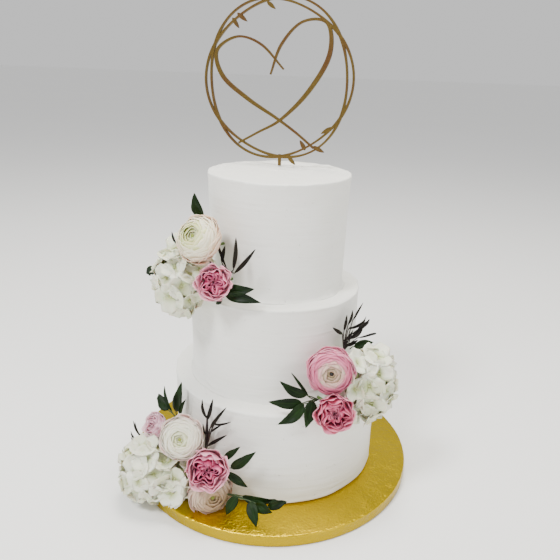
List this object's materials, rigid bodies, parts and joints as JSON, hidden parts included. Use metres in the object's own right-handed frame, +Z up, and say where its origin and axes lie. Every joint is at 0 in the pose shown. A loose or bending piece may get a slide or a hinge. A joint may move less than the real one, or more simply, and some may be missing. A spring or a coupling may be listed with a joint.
{
  "type": "tiered wedding cake",
  "caption": "Tiered buttercream wedding cake on a round foil cake drum, with clusters of fresh flowers and leaves and a hoop topper.",
  "frame": {"origin": "centre of the cake drum's underside, which rests on the table", "axes": "+Z up through the tiers; the topper's flat plate lies along X and faces -Y"},
  "size_m": [0.356, 0.3607, 0.5672],
  "materials": {
    "foil": "embossed gold foil, satin",
    "buttercream": "white buttercream, scraped smooth",
    "bronze_board": "bronze, satin",
    "petal_hydrangea": "soft white petal",
    "petal_white": "soft cream white petal",
    "petal_blush": "soft blush petal",
    "petal_pale": "soft pale pink petal",
    "petal_pink": "soft pink petal",
    "petal_rose": "soft deep pink petal",
    "leaf": "waxy dark green leaf",
    "twig": "dark burgundy leaf, matt"
  },
  "bodies": {
    "root": {"cake_drum": "foil", "tier_bottom": "buttercream", "tier_middle": "buttercream", "tier_top": "buttercream", "topper": "bronze_board", "ranunculus_white_upper": "petal_white", "rose_pink_upper": "petal_rose", "hydrangea_upper": "petal_hydrangea", "ranunculus_pink": "petal_pink", "rose_pink_middle": "petal_rose", "hydrangea_middle": "petal_hydrangea", "ranunculus_white_lower": "petal_white", "rose_pink_lower": "petal_rose", "ranunculus_blush": "petal_blush", "rose_pale_back": "petal_pale", "hydrangea_lower": "petal_hydrangea", "leaf_upper_top": "leaf", "twig_dark_upper": "twig", "ruscus_upper": "leaf", "leaf_upper_left": "leaf", "twig_upper_left": "twig", "twig_pinnate": "twig", "leaf_middle_back": "leaf", "ruscus_middle": "leaf", "leaf_middle_low": "leaf", "ruscus_lower_top": "leaf", "leaf_lower_left": "leaf", "twig_lower_left": "twig", "twig_dark_lower": "twig", "ruscus_lower_right": "leaf", "ruscus_lower_drum": "leaf"}
  },
  "joints": []
}
